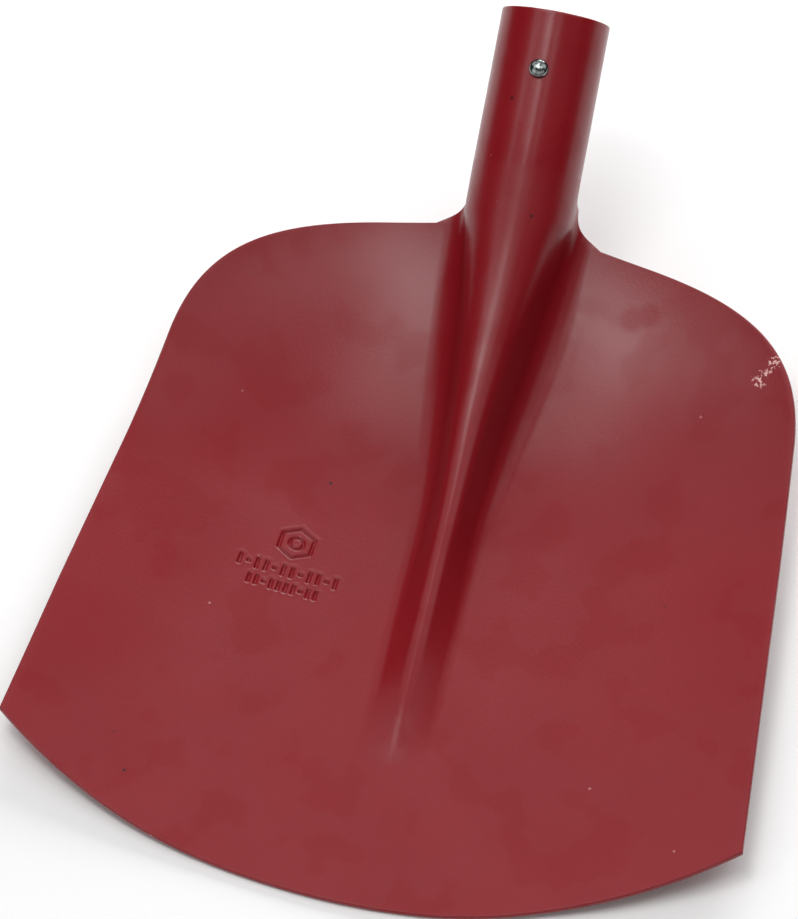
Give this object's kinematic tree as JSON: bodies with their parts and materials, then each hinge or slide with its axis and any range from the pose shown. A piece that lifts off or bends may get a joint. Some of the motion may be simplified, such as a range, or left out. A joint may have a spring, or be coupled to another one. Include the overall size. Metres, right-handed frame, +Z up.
{
  "type": "grain scoop shovel",
  "caption": "Wide dished shovel head pressed from painted sheet steel, with a central hollow ridge that grows into a rolled socket for a handle.",
  "frame": {"origin": "on the ground under the middle of the head's footprint, which rests on its flat floor", "axes": "+Y from the cutting edge towards the socket, +Z up out of the blade's hollow face, +X across the blade to the right of someone who looks from the cutting edge towards the socket"},
  "size_m": [0.277, 0.3651, 0.1139],
  "materials": {
    "blade_paint": "gloss burgundy enamel with fine orange peel",
    "socket_paint": "gloss burgundy enamel",
    "weld_paint": "gloss burgundy enamel over a weld bead",
    "zinc": "bright zinc plating"
  },
  "bodies": {
    "root": {"blade": "blade_paint", "socket": "socket_paint", "socket_seam_weld": "weld_paint", "handle_rivet": "zinc"}
  },
  "joints": []
}
